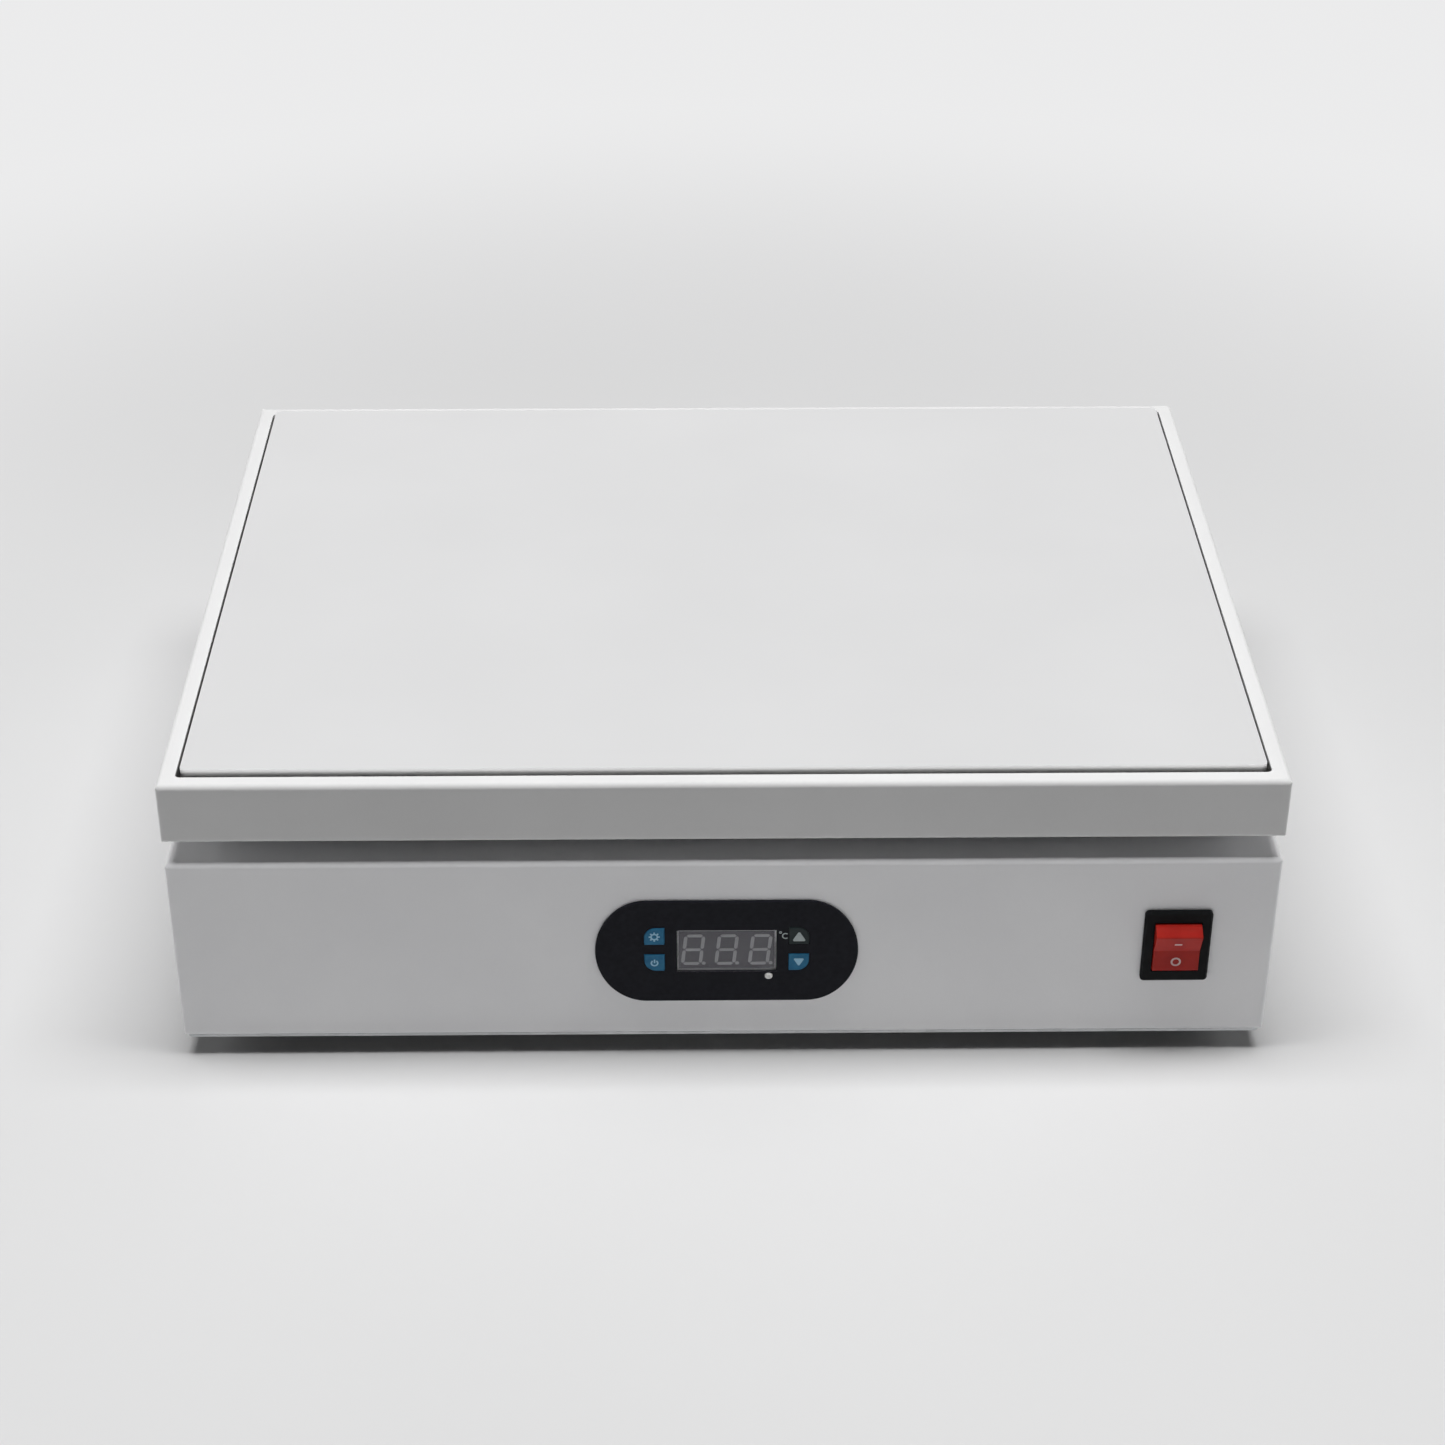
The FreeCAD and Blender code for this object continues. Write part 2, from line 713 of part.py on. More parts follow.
def make_rocker():
    # drawn level, then tipped to the off side, where its lower half is pressed in
    radius = switch_mouth_height / 2 - rocker_clearance
    slope = math.tan(math.radians(rocker_throw / 2))
    spread = 1 + slope ** 2
    rise = (math.sqrt(radius ** 2 * spread - rocker_crease ** 2) - rocker_crease * slope) / spread
    tip_out = rocker_crease + slope * rise
    tail = math.sqrt(radius ** 2 - rocker_skirt ** 2)
    width = switch_mouth_width - 2 * rocker_clearance
    left = switch_x - width / 2

    def at(out, up):
        return Vector(left, pivot_y - out, switch_level + up)

    hub, nose = -rocker_skirt - rocker_hub, -rocker_skirt - rocker_hub - rocker_nose
    outline = [at(-rocker_skirt, tail), at(hub, rocker_nose_width), at(nose, rocker_nose_width / 2),
               at(nose, -rocker_nose_width / 2), at(hub, -rocker_nose_width), at(-rocker_skirt, -tail)]
    edges = [Part.makeLine(at(rocker_crease, 0), at(tip_out, rise)),
             Part.Arc(at(tip_out, rise), at(0, radius), at(-rocker_skirt, tail)).toShape()]
    edges += [Part.makeLine(a, b) for a, b in zip(outline, outline[1:])]
    edges += [Part.Arc(at(-rocker_skirt, -tail), at(0, -radius), at(tip_out, -rise)).toShape(),
              Part.makeLine(at(tip_out, -rise), at(rocker_crease, 0))]
    rocker = Part.Face(Part.Wire(edges)).extrude(x_axis * width)
    tips = [e for e in edges_along(rocker, x_axis) if abs(e.BoundBox.YMin - (pivot_y - tip_out)) < 1e-3]
    rocker = rocker.makeFillet(rocker_corner, tips)
    reach = switch_mouth_width / 2 + trunnion_length
    pin = bar(trunnion_radius, Vector(switch_x - reach, pivot_y, switch_level), x_axis * (2 * reach))
    rocker = rocker.fuse(pin)
    rocker.rotate(Vector(switch_x, pivot_y, switch_level), x_axis, rocker_throw / 2)
    return rocker


def make_switch_blades():
    return [upright(blade_sheet, blade_width, switch_back, blade_end, x, z) for x, z in blade_places]


def inlet_outline(width, height, cut, near, far):
    # D-like outline with its two upper corners cut
    w, h = width / 2, height / 2
    outline = [(-w, -h), (w, -h), (w, h - cut), (w - cut, h), (-w + cut, h), (-w, h - cut)]
    points = [Vector(inlet_x + x, near, inlet_level + z) for x, z in outline]
    return prism(points, y_axis * (far - near))


def make_inlet_housing():
    flange_back = back + inlet_flange_thickness
    flange = upright(inlet_flange_width, inlet_flange_height, back, flange_back, inlet_x, inlet_level)
    flange = rounded(flange, inlet_flange_corner, y_axis)
    housing = flange.fuse(inlet_outline(inlet_body_width, inlet_body_height, inlet_key_cut, inlet_inside, back))
    housing = housing.removeSplitter()
    housing = housing.cut(inlet_outline(inlet_mouth_width, inlet_mouth_height, inlet_key_cut,
                                        flange_back - inlet_mouth_depth, flange_back + 1))
    for x, z in inlet_pins:
        housing = housing.cut(upright(inlet_pin_width, inlet_pin_height, inlet_inside - 1, flange_back, x, z))
    return housing


def make_inlet_pins():
    floor = back + inlet_flange_thickness - inlet_mouth_depth
    return [upright(inlet_pin_width, inlet_pin_height, inlet_end, floor + inlet_pin_length, x, z)
            for x, z in inlet_pins]


def make_power_board():
    return block(power_board_width, power_board_depth, board_thickness, power_board_x, power_board_y,
                 power_board_bottom)


def make_power_posts():
    return [hexagon(power_post_flats, power_post_height, x, y, base_top) for x, y in power_post_places]


transformer_x = power_board_x - part_inset
transformer_y = power_board_y + power_board_depth / 2 - transformer_depth / 2 - part_inset
fuse_y = power_board_y - power_board_depth / 2 + part_inset + fuse_radius
fuse_level = power_board_top + fuse_radius + fuse_clip_wall
terminal_x = power_board_x + power_board_width / 2 - terminal_depth / 2
terminal_places = [power_board_y + (i - (terminal_count - 1) / 2) * terminal_pitch
                   for i in range(terminal_count)]
terminal_level = power_board_top + terminal_height / 2
terminal_mouth = terminal_x + terminal_depth / 2
terminal_seat = terminal_mouth - terminal_entry
relay_tab_level = base_top + relay_height - relay_tab_drop
relay_wire_level = relay_tab_level + relay_tab_sheet + wire_radius


def make_transformer():
    core = block(transformer_width, transformer_depth, transformer_height, transformer_x, transformer_y,
                 power_board_top)
    return core.cut(make_bobbin())


def make_bobbin():
    return block(transformer_width - 2 * bobbin_inset, transformer_depth + 2 * bobbin_overhang,
                 transformer_height - 2 * bobbin_inset, transformer_x, transformer_y,
                 power_board_top + bobbin_inset)


def make_fuse():
    return bar(fuse_radius, Vector(transformer_x - fuse_length / 2, fuse_y, fuse_level), x_axis * fuse_length)


def make_fuse_clips():
    clips = []
    for side in (-1, 1):
        x = transformer_x + side * (fuse_length - fuse_clip) / 2
        clip = block(fuse_clip, 2 * (fuse_radius + fuse_clip_wall), fuse_radius + fuse_clip_wall, x, fuse_y,
                     power_board_top)
        seat = block(2 * fuse_clip, 2 * fuse_radius, 2 * fuse_radius, x, fuse_y, fuse_level - fuse_radius)
        clips.append(clip.cut(seat))
    return clips


def make_terminal_block():
    body = block(terminal_depth, terminal_count * terminal_pitch, terminal_height, terminal_x, power_board_y,
                 power_board_top)
    entry = 2 * (wire_radius + wire_clearance)
    for y in terminal_places:
        body = body.cut(block(terminal_entry, entry, entry, terminal_mouth - terminal_entry / 2, y,
                              terminal_level - entry / 2))
    return body


def make_relay():
    base = block(relay_width, relay_depth, relay_base, relay_x, relay_y, base_top)
    cover = block(relay_width, relay_body_depth, relay_height, relay_x, relay_y, base_top)
    return base.fuse(rounded(cover, relay_corner, z_axis)).removeSplitter()


def make_relay_tabs():
    reach = (relay_body_depth + relay_tab_length) / 2
    return [block(relay_tab_width, relay_tab_length, relay_tab_sheet, relay_x + sx * relay_width / 4,
                  relay_y + sy * reach, relay_tab_level) for sy in (-1, 1) for sx in (-1, 1)]


def make_earth_stud():
    nut = hexagon(earth_flats, earth_nut, earth_x, earth_y, base_top)
    return nut.fuse(hole(earth_radius, earth_x, earth_y, base_top + earth_nut, base_top + earth_height))


def make_mains_wires():
    wires = []
    for pin, blade in ((inlet_pins[0], blade_places[2]), (inlet_pins[1], blade_places[3])):
        wires.append(wire([Vector(pin[0], inlet_end, pin[1]), Vector(pin[0], inlet_end - wire_lead, pin[1]),
                           Vector(blade[0], blade_end + wire_lead, blade[1]),
                           Vector(blade[0], blade_end, blade[1])], wire_radius))
    for blade, place in ((blade_places[0], terminal_places[1]), (blade_places[1], terminal_places[2])):
        wires.append(wire([Vector(blade[0], blade_end, blade[1]),
                           Vector(blade[0], blade_end + wire_lead, blade[1]),
                           Vector(blade[0] - wire_lead / 2, place, terminal_level),
                           Vector(terminal_seat, place, terminal_level)], wire_radius))
    return wires


def make_heater_wires():
    # one from each bus bar down through the bush, one from the terminals to the relay
    level = insulation_top + wire_radius + wire_clearance
    inside = (bush_bore + lead_radius) / 2
    low = deck_bottom - bush_tail - wire_lead / 2.5
    loop = terminal_mouth + wire_lead / 2
    rear = power_board_y + power_board_depth / 2 + wire_lead / 2
    feed_x, load_x = relay_x + relay_width / 4, relay_x - relay_width / 4
    tab_y = relay_y + relay_body_depth / 2 + relay_tab_length
    load = wire([Vector(-bus_x, sensor_y, level), Vector(sensor_x - inside, sensor_y, level),
                 Vector(sensor_x - inside, sensor_y, low),
                 Vector(load_x, tab_y + wire_lead / 2, relay_wire_level),
                 Vector(load_x, tab_y - wire_lap, relay_wire_level)], wire_radius, bush_bend)
    neutral = wire([Vector(bus_x, sensor_y, level), Vector(sensor_x + inside, sensor_y, level),
                    Vector(sensor_x + inside, sensor_y, low),
                    Vector(loop, terminal_places[0] - wire_lead, terminal_level + wire_lead),
                    Vector(loop, terminal_places[0], terminal_level),
                    Vector(terminal_seat, terminal_places[0], terminal_level)], wire_radius, bush_bend)
    feed = wire([Vector(terminal_seat, terminal_places[3], terminal_level),
                 Vector(loop, terminal_places[3], terminal_level), Vector(loop, rear, terminal_level),
                 Vector(feed_x, rear, relay_wire_level),
                 Vector(feed_x, tab_y - wire_lap, relay_wire_level)], wire_radius)
    return [load, neutral, feed]


def make_control_wires():
    end = board_back + connector_depth
    tab_y = relay_y - relay_body_depth / 2 - relay_tab_length
    wires = []
    for side, start in ((-1, control_x - connector_width * 0.4), (1, control_x - connector_width * 0.15)):
        tab_x = relay_x + side * relay_width / 4
        wires.append(wire([Vector(start, end, control_level), Vector(start, end + wire_lead, control_level),
                           Vector(tab_x, tab_y - wire_lead / 2, relay_wire_level),
                           Vector(tab_x, tab_y + wire_lap, relay_wire_level)], wire_radius))
    return wires


def make_sensor_lead():
    end = board_back + connector_depth
    turn = deck_bottom - bush_tail - wire_lead / 1.5
    x = control_x + connector_width / 4
    start = plate_bottom - sensor_hex_height
    return wire([Vector(sensor_x, sensor_y, start), Vector(sensor_x, sensor_y, turn),
                 Vector(x, end + wire_lead, control_level), Vector(x, end, control_level)], lead_radius)


def make_earth_wire():
    pin = inlet_pins[2]
    level = base_top + earth_nut + wire_radius + wire_clearance
    return wire([Vector(pin[0], inlet_end, pin[1]), Vector(pin[0], inlet_end - wire_lead / 2, pin[1]),
                 Vector(pin[0], earth_y - wire_lead, level), Vector(earth_x, earth_y - wire_lead, level),
                 Vector(earth_x, earth_y - earth_radius, level)], wire_radius)


os.makedirs("parts", exist_ok=True)


def save(name, shape):
    solids = shape if isinstance(shape, list) else [shape]
    whole = solids[0] if len(solids) == 1 else Part.makeCompound(solids)
    whole.exportStep("parts/" + name + ".step")


save("case_shell", make_case_shell())
save("base_plate", make_base_plate())
save("rubber_feet", [make_foot(x, y) for x, y in foot_places])
save("tray_frame", make_tray_frame())
save("tray_floor", make_tray_floor())
save("insulation_board", make_insulation())
save("tray_spacers", make_spacers())
save("heating_plate", make_heating_plate())
save("plate_posts", [hexagon(post_flats, plate_bottom - floor_top, x, y, floor_top) for x, y in post_places])
save("heater_rods", make_heater_rods())
save("heater_tabs", make_heater_tabs())
save("bus_bars", make_bus_bars())
save("clamp_bars", make_clamp_bars())
save("temperature_sensor", make_sensor())
save("wire_bush", make_bush())
save("control_faceplate", make_faceplate())
save("display_window", make_window())
save("display_housing", make_display_housing())
save("display_face", make_display_face())
save("display_segments", make_segments())
save("control_board", make_control_board())
for name in key_places:
    save(name, make_key(name))
save("tact_switches", make_tact_switches())
save("indicator_lamp", make_lamp())
save("control_connector", make_connector())
save("panel_clips", make_panel_clips())
save("switch_housing", make_switch_housing())
save("rocker", make_rocker())
save("switch_blades", make_switch_blades())
save("inlet_housing", make_inlet_housing())
save("inlet_pins", make_inlet_pins())
save("power_board", make_power_board())
save("power_posts", make_power_posts())
save("transformer_core", make_transformer())
save("transformer_bobbin", make_bobbin())
save("mains_fuse", make_fuse())
save("fuse_clips", make_fuse_clips())
save("terminal_block", make_terminal_block())
save("solid_state_relay", make_relay())
save("relay_tabs", make_relay_tabs())
save("earth_stud", make_earth_stud())
save("mains_wires", make_mains_wires())
save("heater_wires", make_heater_wires())
save("control_wires", make_control_wires())
save("sensor_lead", make_sensor_lead())
save("earth_wire", make_earth_wire())
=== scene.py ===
import json
import math

import bmesh
import bpy
from mathutils import Matrix, Vector
from mathutils.bvhtree import BVHTree

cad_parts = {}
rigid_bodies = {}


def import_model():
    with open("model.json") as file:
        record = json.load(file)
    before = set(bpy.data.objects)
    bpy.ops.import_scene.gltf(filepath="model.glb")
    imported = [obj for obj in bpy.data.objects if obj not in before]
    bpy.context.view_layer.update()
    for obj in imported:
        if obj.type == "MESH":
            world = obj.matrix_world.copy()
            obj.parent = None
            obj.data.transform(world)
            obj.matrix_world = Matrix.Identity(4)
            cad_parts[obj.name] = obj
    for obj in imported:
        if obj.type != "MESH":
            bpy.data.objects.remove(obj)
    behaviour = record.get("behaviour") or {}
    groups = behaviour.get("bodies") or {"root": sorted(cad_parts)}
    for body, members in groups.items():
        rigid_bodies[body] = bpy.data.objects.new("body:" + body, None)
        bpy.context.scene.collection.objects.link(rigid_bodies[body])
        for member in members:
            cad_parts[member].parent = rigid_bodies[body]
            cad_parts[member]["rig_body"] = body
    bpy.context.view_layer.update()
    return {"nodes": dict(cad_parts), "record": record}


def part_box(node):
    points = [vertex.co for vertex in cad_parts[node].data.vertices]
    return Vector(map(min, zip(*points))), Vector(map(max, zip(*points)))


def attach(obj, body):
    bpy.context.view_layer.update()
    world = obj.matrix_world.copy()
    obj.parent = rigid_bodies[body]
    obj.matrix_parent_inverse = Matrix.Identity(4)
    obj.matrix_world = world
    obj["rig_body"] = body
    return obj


for leftover in list(bpy.data.objects):
    bpy.data.objects.remove(leftover)

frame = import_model()
nodes = frame["nodes"]
mm = 0.001
print("frame loaded:", len(nodes), "nodes")


# the photographer's view: a long lens from in front and above
cameraLook = {
    "place": (-11.9 * mm, -1045.5 * mm, 703.3 * mm),
    "pitchDown": 31.92,
    "yaw": 0.71,
    "roll": 0.09,
    "focalPixels": 2901,
    "imagePixels": 1445,
    "sensor": 36,
}


def aimCamera():
    look = cameraLook
    pitch, yaw, roll = (math.radians(look[key]) for key in ("pitchDown", "yaw", "roll"))
    ahead = Vector((math.sin(yaw) * math.cos(pitch), math.cos(yaw) * math.cos(pitch), -math.sin(pitch)))
    level = Vector((math.cos(yaw), -math.sin(yaw), 0))
    above = level.cross(ahead)
    right = level * math.cos(roll) + above * math.sin(roll)
    up = above * math.cos(roll) - level * math.sin(roll)
    axes = Matrix((right, up, -ahead)).transposed().to_4x4()
    lens = bpy.data.cameras.new("benchCamera")
    lens.sensor_width = look["sensor"]
    lens.lens = look["focalPixels"] * look["sensor"] / look["imagePixels"]
    camera = bpy.data.objects.new("benchCamera", lens)
    camera.matrix_world = Matrix.Translation(look["place"]) @ axes
    bpy.context.scene.collection.objects.link(camera)
    bpy.context.scene.camera = camera


aimCamera()
print("camera aimed")


# shader helpers: every finish reads the object's own coordinates, in metres
def newFinish(name):
    finish = bpy.data.materials.new(name)
    finish.use_nodes = True
    return finish, finish.node_tree, finish.node_tree.nodes["Principled BSDF"]


def addNode(tree, kind, **values):
    node = tree.nodes.new("ShaderNode" + kind)
    for key, value in values.items():
        node.inputs[key].default_value = value
    return node


def addMath(tree, operation, first, second):
    node = tree.nodes.new("ShaderNodeMath")
    node.operation = operation
    tree.links.new(first, node.inputs[0])
    tree.links.new(second, node.inputs[1])
    return node.outputs["Value"]


def setShader(shader, **values):
    for key, value in values.items():
        shader.inputs[key.replace("_", " ")].default_value = value


def placeOf(tree, size):
    # object coordinates divided by the grain's size, one number or one per axis
    spread = (size, size, size) if isinstance(size, float) else size
    coordinates = tree.nodes.new("ShaderNodeTexCoord")
    scaled = addNode(tree, "Mapping", Scale=tuple(1 / s for s in spread))
    tree.links.new(coordinates.outputs["Object"], scaled.inputs["Vector"])
    return scaled.outputs["Vector"]


def grain(tree, size, detail=2.0):
    noise = addNode(tree, "TexNoise", Scale=1.0, Detail=detail)
    tree.links.new(placeOf(tree, size), noise.inputs["Vector"])
    return noise.outputs["Fac"]


def patches(tree, size):
    voronoi = addNode(tree, "TexVoronoi", Scale=1.0)
    tree.links.new(placeOf(tree, size), voronoi.inputs["Vector"])
    return voronoi.outputs["Color"]


def colourBy(tree, shader, source, dark, light, low=0.3, high=0.7):
    ramp = tree.nodes.new("ShaderNodeValToRGB")
    ramp.color_ramp.elements[0].position = low
    ramp.color_ramp.elements[1].position = high
    ramp.color_ramp.elements[0].color = (*dark, 1)
    ramp.color_ramp.elements[1].color = (*light, 1)
    tree.links.new(source, ramp.inputs["Fac"])
    tree.links.new(ramp.outputs["Color"], shader.inputs["Base Color"])


def roughBy(tree, shader, source, low, high):
    # noise lies mostly between a quarter and three quarters
    span = addNode(tree, "MapRange", **{"From Min": 0.25, "From Max": 0.75, "To Min": low, "To Max": high})
    tree.links.new(source, span.inputs["Value"])
    tree.links.new(span.outputs["Result"], shader.inputs["Roughness"])


def bumpBy(tree, shader, source, depth):
    # a second bump goes on top of the first
    bump = addNode(tree, "Bump", Distance=depth, Strength=1.0)
    tree.links.new(source, bump.inputs["Height"])
    if shader.inputs["Normal"].is_linked:
        tree.links.new(shader.inputs["Normal"].links[0].from_socket, bump.inputs["Normal"])
    tree.links.new(bump.outputs["Normal"], shader.inputs["Normal"])


paintLook = {
    "case": ((0.835, 0.835, 0.85), (0.88, 0.88, 0.89)),
    # painted shade: the tray's colours are the case's white paint made greyer, so its front renders darker
    # than the case's front
    "tray": ((0.635, 0.635, 0.635), (0.665, 0.665, 0.665)),
    "rough": (0.34, 0.46),
    "cloud": 60 * mm,
    "gloss": 20 * mm,
    "peel": 1.6 * mm,
    "peelDepth": 0.025 * mm,
    "speck": 0.35 * mm,
    "speckDepth": 0.004 * mm,
}


def powderCoat(part):
    look = paintLook
    finish, tree, shader = newFinish(part + "PowderCoat")
    colourBy(tree, shader, grain(tree, look["cloud"], 4.0), *look[part])
    roughBy(tree, shader, grain(tree, look["gloss"]), *look["rough"])
    bumpBy(tree, shader, grain(tree, look["peel"]), look["peelDepth"])
    bumpBy(tree, shader, grain(tree, look["speck"]), look["speckDepth"])
    return finish


plateLook = {
    "dark": (0.885, 0.885, 0.885),
    "light": (0.91, 0.91, 0.91),
    "rough": (0.36, 0.40),
    "cloud": 90 * mm,
    "scratch": (160 * mm, 0.4 * mm, 0.4 * mm),
    "scratchDepth": 0.0008 * mm,
}


def groundAluminium():
    look = plateLook
    finish, tree, shader = newFinish("groundAluminium")
    setShader(shader, Metallic=1.0)
    scratch = grain(tree, look["scratch"], 3.0)
    colourBy(tree, shader, grain(tree, look["cloud"], 3.0), look["dark"], look["light"])
    roughBy(tree, shader, scratch, *look["rough"])
    bumpBy(tree, shader, scratch, look["scratchDepth"])
    return finish


zincLook = {
    "dark": (0.42, 0.43, 0.44),
    "light": (0.52, 0.53, 0.54),
    "rough": (0.36, 0.50),
    "spangle": 7 * mm,
    "scuff": (30 * mm, 0.8 * mm, 0.8 * mm),
    "scuffDepth": 0.004 * mm,
}


def zincPlate():
    look = zincLook
    finish, tree, shader = newFinish("zincPlate")
    setShader(shader, Metallic=1.0)
    spangle = patches(tree, look["spangle"])
    colourBy(tree, shader, spangle, look["dark"], look["light"], 0.1, 0.9)
    roughBy(tree, shader, spangle, *look["rough"])
    bumpBy(tree, shader, grain(tree, look["scuff"]), look["scuffDepth"])
    return finish


brassLook = {
    "dark": (0.62, 0.42, 0.20),
    "light": (0.78, 0.58, 0.33),
    "rough": (0.25, 0.45),
    "streak": (6 * mm, 0.3 * mm, 0.3 * mm),
    "streakDepth": 0.0025 * mm,
}


def plainBrass():
    look = brassLook
    finish, tree, shader = newFinish("plainBrass")
    setShader(shader, Metallic=1.0)
    streak = grain(tree, look["streak"], 3.0)
    colourBy(tree, shader, streak, look["dark"], look["light"])
    roughBy(tree, shader, streak, *look["rough"])
    bumpBy(tree, shader, streak, look["streakDepth"])
    return finish


windowLook = {
    "dark": (0.27, 0.27, 0.297),
    "light": (0.30, 0.30, 0.33),
    "veil": 0.08,
    "rough": (0.05, 0.09),
    "smear": 9 * mm,
}


def clearWindow():
    look = windowLook
    finish, tree, shader = newFinish("clearWindow")
    setShader(shader, Alpha=look["veil"])
    smear = grain(tree, look["smear"])
    colourBy(tree, shader, smear, look["dark"], look["light"])
    roughBy(tree, shader, smear, *look["rough"])
    return finish


fibreLook = {
    "dark": (0.62, 0.58, 0.50),
    "light": (0.84, 0.82, 0.76),
    "rough": (0.85, 0.98),
    "strand": (6 * mm, 0.5 * mm, 0.5 * mm),
    "strandDepth": 0.3 * mm,
}


def fibreBoard():
    look = fibreLook
    finish, tree, shader = newFinish("fibreBoard")
    strand = grain(tree, look["strand"], 6.0)
    colourBy(tree, shader, strand, look["dark"], look["light"])
    roughBy(tree, shader, strand, *look["rough"])
    bumpBy(tree, shader, strand, look["strandDepth"])
    return finish


coreLook = {
    "dark": (0.10, 0.10, 0.11),
    "light": (0.30, 0.30, 0.31),
    "rough": (0.4, 0.6),
    "sheet": 0.5 * mm,
    "seamDepth": 0.0625 * mm,
}


def laminatedCore():
    look = coreLook
    finish, tree, shader = newFinish("laminatedCore")
    setShader(shader, Metallic=0.9)
    wave = addNode(tree, "TexWave", Scale=1.0, Distortion=0.4)
    wave.bands_direction = "Y"
    tree.links.new(placeOf(tree, look["sheet"]), wave.inputs["Vector"])
    seam = wave.outputs["Fac"]
    colourBy(tree, shader, seam, look["dark"], look["light"], 0.2, 0.8)
    roughBy(tree, shader, seam, *look["rough"])
    bumpBy(tree, shader, seam, look["seamDepth"])
    return finish


# moulded pieces by finish: slot, dark and light colour, roughness, width and depth of the pores
mouldedLook = {
    "footRubber": {
        "slot": "foot_rubber", "rough": (0.62, 0.8), "pore": (0.6 * mm, 0.02 * mm),
        "colours": ((0.018, 0.018, 0.018), (0.035, 0.035, 0.036)),
    },
    "bushCeramic": {
        "slot": "ceramic_white", "rough": (0.5, 0.7), "pore": (0.5 * mm, 0.01 * mm),
        "colours": ((0.78, 0.76, 0.71), (0.87, 0.85, 0.81)),
    },
    "panelBlack": {
        "slot": "black_panel", "rough": (0.42, 0.52), "pore": (0.25 * mm, 0.003 * mm),
        "colours": ((0.009, 0.0095, 0.013), (0.013, 0.0135, 0.018)),
        "extra": {"Specular_IOR_Level": 0.07},
    },
    "displayGrey": {
        "slot": "display_grey", "rough": (0.4, 0.55), "pore": (0.3 * mm, 0.004 * mm),
        "colours": ((0.78, 0.78, 0.80), (0.84, 0.84, 0.86)),
    },
    "displayDark": {
        "slot": "display_dark", "rough": (0.45, 0.6), "pore": (0.3 * mm, 0.004 * mm),
        "colours": ((0.095, 0.092, 0.108), (0.112, 0.109, 0.125)),
    },
    "segmentGrey": {
        "slot": "segment_grey", "rough": (0.4, 0.5), "pore": (0.3 * mm, 0.003 * mm),
        "colours": ((0.42, 0.42, 0.44), (0.48, 0.48, 0.50)),
    },
    "solderMask": {
        "slot": "board_green", "rough": (0.2, 0.35), "pore": (1.2 * mm, 0.02 * mm),
        "colours": ((0.02, 0.11, 0.05), (0.035, 0.17, 0.075)),
    },
    "keyBlue": {
        "slot": "key_blue", "rough": (0.45, 0.6), "pore": (0.3 * mm, 0.006 * mm),
        "colours": ((0.020, 0.13, 0.25), (0.032, 0.17, 0.31)),
        "extra": {"Specular_IOR_Level": 0.15},
    },
    "keyGrey": {
        "slot": "key_grey", "rough": (0.45, 0.6), "pore": (0.3 * mm, 0.006 * mm),
        "colours": ((0.018, 0.026, 0.027), (0.026, 0.036, 0.037)),
        "extra": {"Specular_IOR_Level": 0.15},
    },
    "switchBlack": {
        "slot": "switch_black", "rough": (0.38, 0.5), "pore": (0.35 * mm, 0.006 * mm),
        "colours": ((0.005, 0.0055, 0.006), (0.008, 0.0085, 0.0095)),
        "extra": {"Specular_IOR_Level": 0.07},
    },
    "rockerRed": {
        "slot": "rocker_red", "rough": (0.30, 0.38), "pore": (0.8 * mm, 0.002 * mm),
        "colours": ((0.36, 0.016, 0.011), (0.43, 0.022, 0.015)),
        "extra": {
            "Specular_IOR_Level": 0.16,
            "Subsurface_Weight": 0.25,
            "Subsurface_Radius": (1.0, 0.1, 0.06),
            "Subsurface_Scale": 1.2 * mm,
        },
    },
    "lampLens": {
        "slot": "lamp_clear", "rough": (0.15, 0.25), "pore": (0.6 * mm, 0.002 * mm),
        "colours": ((0.74, 0.74, 0.72), (0.86, 0.86, 0.84)),
    },
    "connectorWhite": {
        "slot": "connector_white", "rough": (0.4, 0.55), "pore": (0.5 * mm, 0.006 * mm),
        "colours": ((0.72, 0.71, 0.66), (0.80, 0.79, 0.74)),
    },
    "fuseGlass": {
        "slot": "fuse_glass", "rough": (0.04, 0.1), "pore": (2.0 * mm, 0.002 * mm),
        "colours": ((0.74, 0.79, 0.79), (0.84, 0.88, 0.88)),
        "extra": {"Alpha": 0.45},
    },
    "wireSleeve": {
        "slot": "wire_sleeve", "rough": (0.45, 0.6), "pore": (0.5 * mm, 0.01 * mm),
        "colours": ((0.09, 0.09, 0.10), (0.13, 0.13, 0.14)),
    },
}


def moulded(name, look):
    # mottled colour, uneven gloss and a skin of shallow pores
    finish, tree, shader = newFinish(name)
    setShader(shader, **look.get("extra", {}))
    pore, poreDepth = look["pore"]
    colourBy(tree, shader, grain(tree, pore * 8, 3.0), *look["colours"])
    roughBy(tree, shader, grain(tree, pore * 5), *look["rough"])
    bumpBy(tree, shader, grain(tree, pore), poreDepth)
    return finish


finishes = {
    "white_paint": powderCoat("case"),
    "zinc_steel": zincPlate(),
    "ground_aluminium": groundAluminium(),
    "fibre_board": fibreBoard(),
    "bare_copper": plainBrass(),
    "clear_window": clearWindow(),
    "core_steel": laminatedCore(),
}
finishes.update({look["slot"]: moulded(name, look) for name, look in mouldedLook.items()})
for part in frame["record"]["subparts"]:
    nodes[part["node"]].material_slots[0].material = finishes[part["material_slot"]]
nodes["tray_frame"].material_slots[0].material = powderCoat("tray")  # painted shade: a greyer copy of the case's white paint, so the tray's front renders darker
print("finishes made:", len(finishes))


def addPiece(name, build, finish):
    shape = bpy.data.meshes.new(name)
    build.to_mesh(shape)
    build.free()
    shape.materials.append(finish)
    piece = bpy.data.objects.new(name, shape)
    bpy.context.scene.collection.objects.link(piece)
    return piece


def middleOf(node):
    low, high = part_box(node)
    return (low + high) / 2


